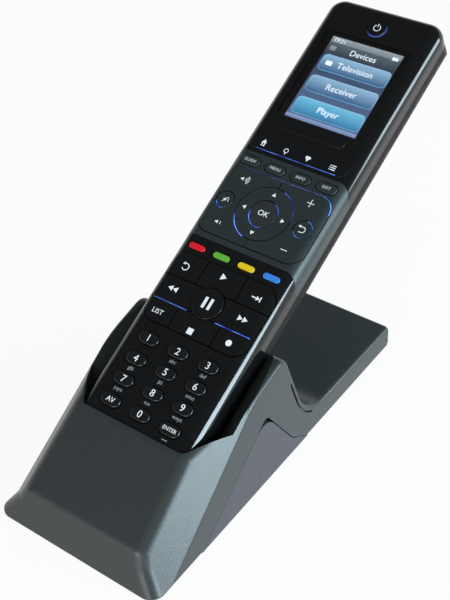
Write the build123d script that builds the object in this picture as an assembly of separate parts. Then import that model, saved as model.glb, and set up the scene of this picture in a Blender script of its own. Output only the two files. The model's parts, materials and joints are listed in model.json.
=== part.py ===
"""Universal remote control standing in its charging cradle.

Every piece is a solid of its own. Lengths are in millimetres, +Z is up.
The remote is drawn lying flat (X across, Y from its lower end to its upper
end, Z out of its face, zero on the face) and is then tilted into the cradle.
"""
import os
from math import tan, radians

from build123d import *

os.makedirs("parts", exist_ok=True)

overrun = 2.0  # how far every cutter runs past what it cuts

# remote, outer body
remote_l = 221.9
remote_w = 55.6
remote_t = 22.0
shoulder_r = 5.4
plan_corner_r = 7.5
rear_edge_r = 9.5
rear_end_r = 8.0
wall = 1.8
parting_n = -9.4
face_lean = 26.78  # tilt of the face in the cradle, degrees
foot_y = 32.8  # lower end of the face, from the front of the cradle
foot_z = 32.43

# the three front covers
lower_seam_v = 92.5
upper_seam_v = 136.8
seam_corner_r = 5.0
seam_gap = 0.25

# keys in general
key_gap = 0.4
split_gap = 0.45
key_rise = 0.4
key_travel = 0.8
flange_out = 0.4
flange_drop = 0.3
flange_t = 1.1
key_edge_r = 0.18

# number keys
digit_w = 9.2
digit_h = 5.2
digit_rise = 0.8
digit_edge_r = 0.6
digit_pitch_u = 14.79
digit_pitch_v = 9.64
digit_top_v = 44.33

# transport keys
deck_low_v = 51.75
deck_high_v = 84.0
deck_w = 50.8
deck_corner_r = 6.5
deck_row1_v = 61.5
deck_row2_v = 72.75
deck_low_split_u = 10.4
deck_high_split_u = 9.6
pause_r = 6.87
pause_v = 67.4

# colour keys
colour_w = 7.8
colour_h = 2.6
colour_pitch = 12.31
colour_v = 87.83
colour_rise = 0.5

# navigation keys
nav_low_v = 95.7
nav_high_v = 128.3
nav_w = 51.2
nav_corner_r = 6.5
nav_v = 111.85
ring_r = 12.39
ok_r = 6.13
side_key_r = 3.8
side_key_u = 19.15
rocker_flange_drop = 0.65
rocker_flange_t = 0.9
rocker_room = 0.7
ring_bottom_drop = 0.8
ridge_r = 0.4
ridge_out_r = 10.6
ridge_in_r = 7.6
carrier_t = 0.8
carrier_out_r = 11.2
carrier_in_r = 7.0

# menu keys
menu_w = 9.4
menu_h = 4.2
menu_pitch = 12.57
menu_v = 132.28
menu_rise = 0.5
menu_edge_r = 0.35

# touch strips below the screen
strip_w = 46.4
strip_h = 5.8
strip_v = 141.8
strip_corner_r = 2.4
strip_depth = 0.8
strip_rise = 0.12
slider_w = 31.4
slider_h = 4.6
slider_v = 153.0
slider_rise = 0.25

# screen
screen_v = 179.9
screen_w = 34.85
screen_h = 43.56
view_margin = 0.5
window_w = 42.0
window_h = 47.0
window_r = 2.0
window_t = 1.0
lcd_w = 40.0
lcd_h = 47.0

# power key
power_r = 4.1
power_v = 210.3
switch_w = 4.5

# rubber mat, board and what stands on it
mat_under_key = 0.9
mat_nub = 0.3
mat_nub_r = 1.5
mat_t = 0.8
mat_low_v = 12.0
mat_high_v = 147.5
layer_gap = 0.3
board_t = 1.2
board_low_v = 12.0
board_high_v = 204.5
board_w = 46.0

# battery pack and its door
cell_r = 5.0
cell_l = 50.0
cell_count = 3
cell_web = 6.0
pack_v = 115.5
door_w = 34.0
door_l = 62.0
door_corner_r = 3.0
door_gap = 0.2
pivot_r = 0.6
pivot_l = 1.6
pivot_fit = 0.05
bay_wall = 1.2
bay_top_gap = 0.4
bay_margin = 1.0

# infrared parts in the upper end
ir_w = 28.0
ir_low_n = -8.2
ir_high_n = -3.6
ir_led_r = 1.5
ir_led_l = 5.5
ir_led_pitch = 9.0
ir_count = 3
ir_gap = 0.4

# charging pads and case screws
pad_w = 4.5
pad_h = 6.5
pad_t = 0.8
pad_u = 6.0
pad_v = 12.0
screw_u = 18.5
screw_low_v = 7.3
screw_high_v = 212.8
screw_r = 1.0
screw_head_r = 2.0
screw_head_h = 1.5
screw_sink = 1.0
screw_fit = 0.2
boss_r = 2.7
boss_meet_n = -10.0
slot_w = 0.6
slot_depth = 0.7

# cradle, outer form (y from its front edge, z from the table)
cradle_w = 80.6
cradle_l = 173.6
cradle_wall = 2.4
cradle_lift = 1.2
panel_low_z = 0.3
nose_y = 7.0
nose_z = 14.8
nose_bevel = 49.0
lip_y = 39.5
lip_z = 37.7
crest_y = 95.0
crest_z = 51.6
crest_r = 6.0
fall_y = 105.3
fall_r = 18.0
plate_z = 10.8
plate_drop = 0.4
cradle_front_r = 6.0
cradle_rear_r = 3.0
side_draft = 4.9
side_rake = 35.5
side_yaw = 3.5
side_foot_y = 12.0
side_foot_z = 1.8
side_bevel = 50.0
hood_edge_r = 6.5
rim_edge_r = 2.0
slit_in = 2.3
slit_w = 1.0
slit_depth = 1.1
slit_low_z = 10.0
slit_high_z = 41.0
notch_y = 2.2
notch_w = 1.2
notch_h = 3.0

# pocket for the remote
dock_gap = 0.35
tub_wall = 2.0
lip_v = 9.1
flare_foot_n = -15.0
flare_angle = 42.0
flare_front_w = 25.5
flare_turn_v = 26.0
flare_front_r = 4.0
flare_turn_r = 1.5
flare_half_w = 35.6

# side panels of the base, shares of the panel length and height
panel_y = 28.8
panel_l = 76.9
panel_h = 32.9
panel_top_share = 0.646
panel_turn_share = 0.848
panel_turn_high_share = 0.24
panel_top_r = 3.0
panel_round_r = 8.0
panel_turn_r = 12.0
panel_gap = 0.4
panel_sink = 0.1
panel_t = 2.0

# floor of the base, feet, screws, board, inlet
floor_t = 2.4
floor_gap = 0.3
rubber_foot_r = 5.0
rubber_foot_t = 2.0
foot_side_in = 11.3
foot_front_y = 19.0
foot_rear_in = 15.6
post_r = 3.0
post_foot_pitch = 7.0
post_front_y = 24.0
post_rear_in = 27.6
cradle_screw_r = 1.2
cradle_screw_head_r = 2.3
cradle_screw_head_h = 1.2
inlet_w = 7.6
inlet_h = 2.8
inlet_l = 6.0
inlet_wall = 0.4
inlet_rim_gap = 0.2
inlet_tongue_h = 0.6
inlet_corner_r = 0.7
dock_board_gap = 1.0
dock_board_l = 40.0
dock_board_t = 1.2
dock_board_lift = 1.0

# sprung charging pins
pin_r = 1.0
pin_fit = 0.06
pin_tip_gap = 0.25
pin_collar_r = 1.8
pin_collar_t = 1.0
pin_tail = 3.0
pin_tube_r = 3.0
pin_tube_gap = 0.2
pin_tube_l = 7.0

cover_under_n = -wall
key_bottom_n = cover_under_n - flange_drop - flange_t
mat_nub_n = key_bottom_n - mat_under_key
mat_top_n = mat_nub_n - mat_nub
board_top_n = mat_top_n - mat_t
board_low_n = board_top_n - board_t


def prism(outline, low, high):
    """Straight solid over a flat outline, between two heights."""
    return extrude(Plane.XY.offset(low) * outline, amount=high - low)


def body(inset):
    """Outer form of the remote, or the same form drawn in by a wall."""
    w = remote_w - 2 * inset
    t = remote_t - 2 * inset
    plan = Pos(0, remote_l / 2) * RectangleRounded(w, remote_l - 2 * inset, plan_corner_r - inset)
    block = prism(plan, inset - remote_t, -inset)
    across = Rectangle(w, t + remote_t)
    across = fillet(across.vertices().sort_by(Axis.Y)[:2], rear_edge_r - inset)
    along = Rectangle(remote_l - 2 * inset, t + remote_t)
    along = fillet(along.vertices().sort_by(Axis.Y)[:2], rear_end_r - inset)
    mid_n = (t + remote_t) / 2 + inset - remote_t
    across = extrude(Plane.XZ * Pos(0, mid_n) * across, amount=remote_l + overrun, both=True)
    along = extrude(Plane.YZ * Pos(remote_l / 2, mid_n) * along, amount=remote_w, both=True)
    block = block & across & along
    rim = block.faces().sort_by(Axis.Z)[-1].edges()
    return fillet(rim, shoulder_r - inset)


outer = body(0)
inner = body(wall)
shell = outer - inner
clear_inner = body(wall + layer_gap)
rocker_inner = body(wall + rocker_room)


def slab(low, high):
    """A block over the whole remote between two heights."""
    plan = Pos(0, remote_l / 2) * Rectangle(remote_w + 2 * overrun, remote_l + 2 * overrun)
    return prism(plan, low, high)


front = shell & slab(parting_n, overrun)
rear = shell & slab(-remote_t - overrun, parting_n)


def below_seam(seam_v):
    """Everything on the lower side of a seam whose ends curve down."""
    length = seam_v + 4 * overrun
    block = Rectangle(remote_w, length)
    block = fillet(block.vertices().sort_by(Axis.Y)[-2:], seam_corner_r)
    return prism(Pos(0, seam_v - length / 2) * block, -remote_t, overrun)


lower_cover = front & below_seam(lower_seam_v)
middle_cover = (front & below_seam(upper_seam_v)) - below_seam(lower_seam_v + seam_gap)
upper_cover = front - below_seam(upper_seam_v + seam_gap)


def hole(outline, gap=key_gap):
    """Cutter for a key: the outline with a gap, deep enough for the travel."""
    low = key_bottom_n - key_travel - key_gap
    return prism(offset(outline, gap), low, overrun)


def cap(outline, rise=key_rise, low=key_bottom_n, edge=0):
    """Key top that follows the face of the remote, standing proud of it."""
    solid = prism(outline, low, overrun) & (Pos(0, 0, rise) * outer)
    if edge:
        solid = fillet(solid.faces().sort_by(Axis.Z)[-1].edges(), edge)
    return solid


def flange(outline, drop=flange_drop, thick=flange_t, out=flange_out):
    """Hidden rim under the cover that keeps a key in."""
    high = cover_under_n - drop
    return prism(offset(outline, out + key_gap), high - thick, high) & clear_inner


parts = {}
labels = {}
nubs = []


def simple_key(name, outline, rise, edge):
    parts[name] = cap(outline, rise, edge=edge) + flange(outline)
    nubs.append(outline.center())
    return hole(outline)


# number keys: plain pills on a grid
digit_names = ["key_1", "key_2", "key_3", "key_4", "key_5", "key_6",
               "key_7", "key_8", "key_9", "key_av", "key_0", "key_enter"]
digit_holes = []
for count, name in enumerate(digit_names):
    row, column = divmod(count, 3)
    spot = Pos((column - 1) * digit_pitch_u, digit_top_v - row * digit_pitch_v)
    digit_holes.append(simple_key(name, spot * SlotOverall(digit_w, digit_h), digit_rise, digit_edge_r))

# transport keys: one rounded block cut into nine
deck_h = deck_high_v - deck_low_v
deck_mid_v = (deck_high_v + deck_low_v) / 2
deck = Pos(0, deck_mid_v) * RectangleRounded(deck_w, deck_h, deck_corner_r)
reach_w = deck_w / 2 + overrun
low_v = deck_low_v - overrun
high_v = deck_high_v + overrun
half_split = split_gap / 2


def cell(u0, u1, v0, v1):
    """Rectangle between two pairs of lines, drawn in by half the split."""
    w = u1 - u0 - split_gap
    h = v1 - v0 - split_gap
    return Pos((u0 + u1) / 2, (v0 + v1) / 2) * Rectangle(w, h)


deck_cells = {
    "key_list": cell(-reach_w, -deck_low_split_u, low_v, deck_row1_v),
    "key_stop": cell(-deck_low_split_u, deck_low_split_u, low_v, deck_row1_v),
    "key_record": cell(deck_low_split_u, reach_w, low_v, deck_row1_v),
    "key_rewind": cell(-reach_w, 0, deck_row1_v, deck_row2_v),
    "key_forward": cell(0, reach_w, deck_row1_v, deck_row2_v),
    "key_replay": cell(-reach_w, -deck_high_split_u, deck_row2_v, high_v),
    "key_play": cell(-deck_high_split_u, deck_high_split_u, deck_row2_v, high_v),
    "key_skip": cell(deck_high_split_u, reach_w, deck_row2_v, high_v),
}
pause_disc = Pos(0, pause_v) * Circle(pause_r)
pause_hole = Pos(0, pause_v) * Circle(pause_r + split_gap)
deck_rim = offset(deck, flange_out + key_gap)
for name, area in deck_cells.items():
    outline = (deck & area) - pause_hole
    rim = (deck_rim & area) - pause_hole
    low = cover_under_n - flange_drop - flange_t
    skirt = prism(rim, low, low + flange_t) & clear_inner
    parts[name] = cap(outline) + skirt
    nubs.append(outline.center())
parts["key_pause"] = cap(pause_disc, digit_rise, edge=key_edge_r)
nubs.append(pause_disc.center())

# colour keys: four short bars
colour_names = ["key_red", "key_green", "key_yellow", "key_blue"]
colour_holes = []
for count, name in enumerate(colour_names):
    spot = Pos((count - 1.5) * colour_pitch, colour_v)
    colour_holes.append(simple_key(name, spot * SlotOverall(colour_w, colour_h), colour_rise, key_edge_r))

# menu keys: four pills
menu_names = ["key_guide", "key_menu", "key_info", "key_exit"]
menu_holes = []
for count, name in enumerate(menu_names):
    spot = Pos((count - 1.5) * menu_pitch, menu_v)
    menu_holes.append(simple_key(name, spot * SlotOverall(menu_w, menu_h), menu_rise, menu_edge_r))

# navigation keys: two rockers round a tilting ring
nav_h = nav_high_v - nav_low_v
nav_mid_v = (nav_high_v + nav_low_v) / 2
nav = Pos(0, nav_mid_v) * RectangleRounded(nav_w, nav_h, nav_corner_r)
centre = Pos(0, nav_v)
ring_hole = centre * Circle(ring_r + split_gap)
nav_reach = nav_w / 2 + overrun
rocker_high = cover_under_n - rocker_flange_drop
rocker_low = rocker_high - rocker_flange_t
nav_rim = offset(nav, flange_out + key_gap)
for name, side in (("volume_rocker", -1), ("channel_rocker", 1)):
    half = Pos(side * (nav_reach + half_split) / 2, nav_mid_v) * Rectangle(nav_reach - half_split, nav_h + 2 * overrun)
    side_spot = Pos(side * side_key_u, nav_v)
    side_hole = side_spot * Circle(side_key_r + split_gap)
    outline = (nav & half) - ring_hole - side_hole
    rim = (nav_rim & half) - ring_hole - side_hole
    parts[name] = cap(outline, low=rocker_low) + (prism(rim, rocker_low, rocker_high) & rocker_inner)
    nubs.append(Vector(side * side_key_u, nav_mid_v + nav_h / 3))
    nubs.append(Vector(side * side_key_u, nav_mid_v - nav_h / 3))
for name, side in (("key_mute", -1), ("key_last", 1)):
    disc = Pos(side * side_key_u, nav_v) * Circle(side_key_r)
    parts[name] = cap(disc, edge=key_edge_r)
    nubs.append(disc.center())

ring_low = cover_under_n - ring_bottom_drop
ring = centre * (Circle(ring_r) - Circle(ok_r + split_gap))
parts["dpad_ring"] = cap(ring, low=ring_low)
ok_disc = centre * Circle(ok_r)
parts["key_ok"] = cap(ok_disc, edge=key_edge_r)
nubs.append(ok_disc.center())

carrier_high = ring_low - ridge_r
carrier_low = carrier_high - carrier_t
carrier = prism(centre * (Circle(carrier_out_r) - Circle(carrier_in_r)), carrier_low, carrier_high)
ridge_l = ridge_out_r - ridge_in_r
ridge_mid = (ridge_out_r + ridge_in_r) / 2
for side in (-1, 1):
    bar = Pos(side * ridge_mid, nav_v, carrier_high) * Rot(0, 90, 0) * Cylinder(ridge_r, ridge_l)
    carrier += bar & slab(carrier_low, overrun)
parts["dpad_carrier"] = carrier

# power key
power_disc = Pos(0, power_v) * Circle(power_r)
parts["key_power"] = cap(power_disc, edge=key_edge_r) + flange(power_disc)
power_hole = hole(power_disc)

# front covers with their key holes
for cutter in digit_holes + colour_holes + [hole(deck)]:
    lower_cover -= cutter
for cutter in menu_holes + [hole(nav)]:
    middle_cover -= cutter

# screen window, display, touch strips in the upper cover
screen_spot = Pos(0, screen_v)
window_outline = screen_spot * RectangleRounded(window_w, window_h, window_r)
view_outline = screen_spot * Rectangle(screen_w + 2 * view_margin, screen_h + 2 * view_margin)
strip_outline = Pos(0, strip_v) * RectangleRounded(strip_w, strip_h, strip_corner_r)
slider_outline = Pos(0, slider_v) * SlotOverall(slider_w, slider_h)
upper_cover -= prism(window_outline, -window_t, overrun)
upper_cover -= prism(view_outline, -wall - overrun, overrun)
upper_cover -= prism(strip_outline, -strip_depth, overrun)
upper_cover -= prism(slider_outline, -strip_depth, overrun)
upper_cover -= power_hole
parts["screen_window"] = prism(window_outline, -window_t, 0)
parts["lcd_module"] = prism(screen_spot * Rectangle(lcd_w, lcd_h), board_top_n, cover_under_n)
strip_solid = prism(strip_outline, -strip_depth, strip_rise)
parts["touch_strip"] = fillet(strip_solid.faces().sort_by(Axis.Z)[-1].edges(), strip_rise * 0.8)
slider_solid = prism(slider_outline, -strip_depth, slider_rise)
parts["slider_strip"] = fillet(slider_solid.faces().sort_by(Axis.Z)[-1].edges(), slider_rise * 0.8)

# infrared window and emitters in the upper end
ir_mid_n = (ir_low_n + ir_high_n) / 2
ir_block = Pos(0, remote_l, ir_mid_n) * Box(ir_w, 2 * plan_corner_r, ir_high_n - ir_low_n)
parts["infrared_window"] = upper_cover & ir_block
upper_cover -= ir_block
led_end_v = remote_l - wall - ir_gap
leds = []
for count in range(ir_count):
    led_u = (count - (ir_count - 1) / 2) * ir_led_pitch
    leds.append(Pos(led_u, led_end_v - ir_led_l / 2, ir_mid_n) * Rot(90, 0, 0) * Cylinder(ir_led_r, ir_led_l))
parts["infrared_emitters"] = Compound(children=leds)

# case screws and the bosses that they join
screw_spots = [(side * screw_u, v) for side in (-1, 1) for v in (screw_low_v, screw_high_v)]
head_low_n = screw_sink - remote_t
head_high_n = head_low_n + screw_head_h
tip_n = -wall - screw_sink - screw_head_h
screws = []
for spot_u, spot_v in screw_spots:
    spot = Pos(spot_u, spot_v)
    front_boss = prism(spot * Circle(boss_r), boss_meet_n, cover_under_n) & inner
    front_boss -= prism(spot * Circle(screw_r), boss_meet_n - overrun, tip_n)
    rear_boss = prism(spot * Circle(boss_r), -remote_t, boss_meet_n) & outer
    well = prism(spot * Circle(screw_head_r + screw_fit), -remote_t - overrun, head_high_n)
    shaft_hole = prism(spot * Circle(screw_r + screw_fit), -remote_t, overrun)
    if spot_v < remote_l / 2:
        lower_cover += front_boss
    else:
        upper_cover += front_boss
    rear = (rear + rear_boss) - well - shaft_hole
    screw = prism(spot * Circle(screw_head_r), head_low_n, head_high_n)
    screw += prism(spot * Circle(screw_r), head_high_n, tip_n)
    for turn in (0, 90):
        blade = spot * Rot(0, 0, turn) * Rectangle(2 * screw_head_r * 0.8, slot_w)
        screw -= prism(blade, head_low_n, head_low_n + slot_depth)
    screws.append(screw)
parts["case_screws"] = Compound(children=screws)

# rear shell: battery opening, bay walls, charging pads
door_outline = Pos(0, pack_v) * Rectangle(door_w, door_l)
door_outline = fillet(door_outline.vertices().sort_by(Axis.Y)[:2], door_corner_r)
opening = prism(offset(door_outline, door_gap), -remote_t - overrun, -remote_t + wall)
hinge_v = pack_v + door_l / 2 - wall / 2
hinge_n = -remote_t + wall / 2
bay_top_n = board_low_n - bay_top_gap
bay_in = Pos(0, pack_v) * Rectangle(door_w + 2 * bay_margin, door_l + 2 * bay_margin)
bay_out = offset(bay_in, bay_wall, kind=Kind.INTERSECTION)
bay = prism(bay_out - bay_in, -remote_t + wall / 2, bay_top_n) & outer
rear = (rear + bay) - opening
pivot_hole_l = door_w + 2 * door_gap + 2 * pivot_l
rear -= Pos(0, hinge_v, hinge_n) * Rot(0, 90, 0) * Cylinder(pivot_r + pivot_fit, pivot_hole_l)
pads = []
for side in (-1, 1):
    pad = Pos(side * pad_u, pad_v) * Rectangle(pad_w, pad_h)
    pad_solid = prism(pad, -remote_t, -remote_t + pad_t)
    rear -= pad_solid
    pads.append(pad_solid)
parts["charge_pads"] = Compound(children=pads)

door = prism(door_outline, -remote_t, -remote_t + wall)
square_v = hinge_v + overrun
door -= Pos(0, square_v, hinge_n) * Box(door_w + overrun, 2 * overrun, wall + overrun)
bead_l = door_w
door += Pos(0, hinge_v, hinge_n) * Rot(0, 90, 0) * Cylinder(wall / 2, bead_l)
door += Pos(0, hinge_v, hinge_n) * Rot(0, 90, 0) * Cylinder(pivot_r, door_w + 2 * pivot_l - door_gap)
parts["battery_door"] = door

# battery pack
pack_n = -remote_t + wall + cell_r + door_gap
cells = None
for count in range(cell_count):
    cell_u = (count - (cell_count - 1) / 2) * 2 * cell_r
    tube = Pos(cell_u, pack_v, pack_n) * Rot(90, 0, 0) * Cylinder(cell_r, cell_l)
    cells = tube if cells is None else cells + tube
cells += Pos(0, pack_v, pack_n) * Box((cell_count - 1) * 2 * cell_r, cell_l, cell_web)
parts["battery_pack"] = cells

# rubber mat with a nub under each key, and the circuit board
mat_mid_v = (mat_low_v + mat_high_v) / 2
mat_area = Pos(0, mat_mid_v) * Rectangle(remote_w, mat_high_v - mat_low_v)
mat = prism(mat_area, board_top_n, mat_top_n) & clear_inner
for place in nubs:
    mat += prism(Pos(place.X, place.Y) * Circle(mat_nub_r), mat_top_n - mat_t / 2, mat_nub_n)
cradle_ridge_r = carrier_low - mat_top_n
for side in (-1, 1):
    bar = Pos(0, nav_v + side * ridge_mid, mat_top_n) * Rot(90, 0, 0) * Cylinder(cradle_ridge_r, ridge_l)
    mat += bar & slab(board_top_n, overrun)
parts["keypad_mat"] = mat

board_mid_v = (board_low_v + board_high_v) / 2
board_plan = Pos(0, board_mid_v) * Rectangle(board_w, board_high_v - board_low_v)
board = prism(board_plan, board_low_n, board_top_n) & clear_inner
board_tab = Pos(0, board_high_v) * Rectangle(2 * (screw_u - boss_r - layer_gap), 2 * (power_v - board_high_v + switch_w))
board += prism(board_tab, board_low_n, board_top_n) & clear_inner
board += prism(Pos(0, power_v) * Rectangle(switch_w, switch_w), board_top_n - board_t / 2, mat_nub_n)
parts["circuit_board"] = board - parts["infrared_emitters"]

parts["lower_front_cover"] = lower_cover
parts["middle_front_cover"] = middle_cover
parts["upper_front_cover"] = upper_cover
parts["rear_shell"] = rear

# tilt the remote into the cradle
seat = Pos(0, foot_y, foot_z) * Rot(face_lean, 0, 0)
remote_names = list(parts)
for name in remote_names:
    parts[name] = seat * parts[name]

# cradle: side profile, drawn in the Y Z plane
tail_z = plate_z - plate_drop


def cradle_profile(bottom_z):
    """Side view of the cradle cover, closed along the table."""
    outline = [(0, bottom_z), (nose_y, nose_z), (lip_y, lip_z), (crest_y, crest_z),
               (fall_y, plate_z), (cradle_l, tail_z), (cradle_l, bottom_z)]
    if bottom_z < cradle_lift:
        outline.insert(1, (0, cradle_lift))
    face = Polygon(*outline, align=None)
    crest = face.vertices().sort_by_distance((crest_y, crest_z, 0))[0]
    face = fillet(crest, crest_r)
    fall = face.vertices().sort_by_distance((fall_y, plate_z, 0))[0]
    return fillet(fall, fall_r)


def outside(side, inset, y, turn):
    """A block whose lower face is one slanting side face of the cradle."""
    big = 4 * cradle_l
    corner = Pos(side * (cradle_w / 2 - inset), y, side_foot_z)
    return corner * turn * Pos(0, 0, big / 2) * Box(big, big, big)


plan = Pos(0, cradle_l / 2) * Rectangle(cradle_w, cradle_l)
plan = fillet(plan.vertices().sort_by(Axis.Y)[:2], cradle_front_r)
plan = fillet(plan.vertices().sort_by(Axis.Y)[-2:], cradle_rear_r)


def cradle_form(inset, bottom_z):
    """Outer form of the cradle, or the same form drawn in by a wall."""
    face = cradle_profile(bottom_z)
    area = plan
    if inset:
        face = offset(face, -inset)
        area = offset(plan, -inset)
    block = extrude(Plane.YZ * face, amount=cradle_w, both=True)
    block = block & prism(area, bottom_z, crest_z + overrun)
    for side in (-1, 1):
        raked = Rot(0, 0, side * side_yaw) * Rot(side_rake, 0, 0) * Rot(0, side * side_bevel, 0)
        level = Rot(0, side * nose_bevel, 0)
        upright = Rot(0, side * (90 - side_draft), 0)
        block -= outside(side, inset, side_foot_y, raked) & outside(side, inset, 0, level)
        block -= outside(side, inset, 0, upright)
    return block


def top_line(y):
    """Height of the front face at a given place along the cradle."""
    if y < lip_y:
        return nose_z + (lip_z - nose_z) * (y - nose_y) / (lip_y - nose_y)
    return lip_z + (crest_z - lip_z) * (y - lip_y) / (crest_y - lip_y)


def soften(block):
    """Round the edges of the hood, then those of the crest and the plate."""
    hood = []
    for edge in block.edges():
        mid = edge @ 0.5
        on_nose = mid.Y < nose_y + cradle_lift and mid.Z > nose_z / 2
        on_top = nose_y < mid.Y < crest_y * 0.75 and mid.Z > top_line(mid.Y) - cradle_lift
        if on_nose or on_top:
            hood.append(edge)
    block = fillet(hood, hood_edge_r)
    rear_edges = []
    for edge in block.edges():
        mid = edge @ 0.5
        on_side = mid.Y > crest_y * 0.8 and abs(mid.X) > cradle_w * 0.4
        on_tail = mid.Y > cradle_l - cradle_lift
        if (on_side or on_tail) and mid.Z > plate_z * 0.6:
            rear_edges.append(edge)
    return fillet(rear_edges, rim_edge_r)


below_z = -cradle_wall - overrun
cradle_outer = soften(cradle_form(0, cradle_lift))

# shadow line in each side wall below the fall, and a small notch at each rear corner
fall_face = cradle_profile(cradle_lift)
slit_face = offset(fall_face, -slit_in) - offset(fall_face, -slit_in - slit_w)
slit_l = 2 * (fall_y - crest_y)
slit_mid_z = (slit_low_z + slit_high_z) / 2
slit_face = slit_face & (Pos(fall_y, slit_mid_z) * SlotOverall(slit_high_z - slit_low_z, slit_l, 90))
for side in (-1, 1):
    skin = extrude(Plane.YZ * slit_face, amount=side * cradle_w)
    cradle_outer -= skin - cradle_form(slit_depth, below_z)
    notch_spot = Pos(side * cradle_w / 2, cradle_l - notch_y, cradle_lift)
    cradle_outer -= notch_spot * Box(cradle_wall, notch_w, 2 * notch_h)
cradle_inner = cradle_form(cradle_wall, below_z - overrun)


def dock_section(grow):
    """Cross-section of the remote, grown by a gap."""
    block = Rectangle(remote_w + 2 * grow, remote_t + 2 * grow)
    block = fillet(block.vertices().sort_by(Axis.Y)[:2], rear_edge_r + grow)
    return fillet(block.vertices().sort_by(Axis.Y)[-2:], shoulder_r + grow)


def dock_slot(grow):
    """Straight slot that the remote slides out of, in the remote's frame."""
    section = Plane.XZ * Pos(0, -remote_t / 2) * dock_section(grow)
    return Pos(0, -grow, 0) * extrude(section, amount=-remote_l - grow)


def dock_flare(grow):
    """Funnel above the slot, open upwards, from the lip to the crest."""
    foot_u = remote_w / 2 + dock_gap + grow
    top_n = remote_t
    top_u = foot_u + (top_n - flare_foot_n) * tan(radians(flare_angle))
    low_n = flare_foot_n - grow
    section = Polygon((-foot_u, low_n), (foot_u, low_n), (top_u, top_n), (-top_u, top_n), align=None)
    wedge = extrude(Plane.XZ * section, amount=remote_l, both=True)
    half = flare_half_w + grow
    front_w = flare_front_w + grow
    start_v = lip_v - grow
    outline = [(front_w, start_v), (half, flare_turn_v), (half, remote_l), (-half, remote_l),
               (-half, flare_turn_v), (-front_w, start_v)]
    area = Polygon(*outline, align=None)
    area = fillet(area.vertices().sort_by(Axis.Y)[:2], flare_front_r)
    area = fillet(area.vertices().filter_by(lambda p: abs(p.Y - flare_turn_v) < grow + layer_gap), flare_turn_r)
    return wedge & prism(area, low_n, top_n)


slot = seat * dock_slot(dock_gap)
flare = seat * dock_flare(0)
tub = (seat * dock_slot(dock_gap + tub_wall)) + (seat * dock_flare(tub_wall))
tub = tub & cradle_outer

# charging pins through the floor of the pocket
dock_floor_n = -remote_t - dock_gap
tub_under_n = dock_floor_n - tub_wall
tip_high_n = -remote_t - pin_tip_gap
collar_high_n = tub_under_n - pin_tube_gap
collar_low_n = collar_high_n - pin_collar_t
pins = []
tubes = []
pin_holes = []
for side in (-1, 1):
    spot = Pos(side * pad_u, pad_v)
    pin = prism(spot * Circle(pin_r), collar_low_n - pin_tail, tip_high_n)
    pin += prism(spot * Circle(pin_collar_r), collar_low_n, collar_high_n)
    pins.append(seat * pin)
    tubes.append(seat * prism(spot * Circle(pin_tube_r), tub_under_n - pin_tube_l, dock_floor_n))
    pin_holes.append(seat * prism(spot * Circle(pin_r + pin_fit), tub_under_n - overrun, overrun))
    bore_r = pin_collar_r + pin_tube_gap
    pin_holes.append(seat * prism(spot * Circle(bore_r), tub_under_n - pin_tube_l - overrun, tub_under_n))
parts["contact_pins"] = Compound(children=pins)

# side openings of the cover, filled by the panels of the base
panel_outline = [(panel_y, below_z), (panel_y, 0),
                 (panel_y + panel_l * panel_top_share, panel_h),
                 (panel_y + panel_l * panel_turn_share, panel_h * panel_turn_high_share),
                 (panel_y + panel_l, 0), (panel_y + panel_l, below_z)]


def panel_shape(top_r):
    """Outline of a side opening, with its top corner rounded by the given radius."""
    face = Polygon(*panel_outline, align=None)
    face = fillet(face.vertices().sort_by_distance((*panel_outline[2], 0))[0], top_r)
    return fillet(face.vertices().sort_by_distance((*panel_outline[3], 0))[0], panel_turn_r)


panel_face = panel_shape(panel_top_r)
panel_small = offset(panel_shape(panel_round_r), -panel_gap)
panel_prism = extrude(Plane.YZ * panel_small, amount=cradle_w, both=True)
panel_layer = cradle_form(panel_sink, below_z) - cradle_form(panel_sink + panel_t, below_z - overrun)
panel_pair = panel_prism & panel_layer
core_w = cradle_w / 2 - cradle_wall - panel_gap - panel_h * tan(radians(side_draft))
side_cuts = []
for side in (-1, 1):
    side_cuts.append(Pos(side * core_w, 0, 0) * extrude(Plane.YZ * panel_face, amount=side * cradle_w))

# floor, posts, screws and feet
floor_low = cradle_lift
floor_high = cradle_lift + floor_t
hollow = cradle_form(cradle_wall + floor_gap, below_z)
above = prism(Pos(0, cradle_l / 2) * Rectangle(2 * cradle_w, 2 * cradle_l), floor_low, floor_high)
base = hollow & above
inside = panel_prism & cradle_form(panel_sink + panel_t / 2, below_z) & above
base += inside
over_table = prism(Pos(0, cradle_l / 2) * Rectangle(2 * cradle_w, 2 * cradle_l), panel_low_z, crest_z)
base += panel_pair & over_table

cover = (cradle_outer - cradle_inner) + tub - slot - flare
for tube in tubes:
    cover += tube
for cutter in pin_holes + side_cuts:
    cover -= cutter
cradle_screws = []
foot_x = cradle_w / 2 - foot_side_in
post_x = foot_x - post_foot_pitch
post_spots = [(side * post_x, y) for side in (-1, 1) for y in (post_front_y, cradle_l - post_rear_in)]
head_top = cradle_lift + cradle_screw_head_h
screw_top = tail_z - cradle_wall
for x, y in post_spots:
    spot = Pos(x, y)
    cover += prism(spot * Circle(post_r), floor_high, crest_z) & cradle_outer
    cover -= prism(spot * Circle(cradle_screw_r), floor_high, screw_top)
    base -= prism(spot * Circle(cradle_screw_head_r + screw_fit), 0, head_top)
    base -= prism(spot * Circle(cradle_screw_r + screw_fit), 0, floor_high + overrun)
    screw = prism(spot * Circle(cradle_screw_head_r), cradle_lift, head_top)
    screw += prism(spot * Circle(cradle_screw_r), head_top, screw_top)
    for turn in (0, 90):
        blade = spot * Rot(0, 0, turn) * Rectangle(2 * cradle_screw_head_r * 0.8, slot_w)
        screw -= prism(blade, cradle_lift, cradle_lift + slot_depth)
    cradle_screws.append(screw)
parts["cradle_screws"] = Compound(children=cradle_screws)

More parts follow.
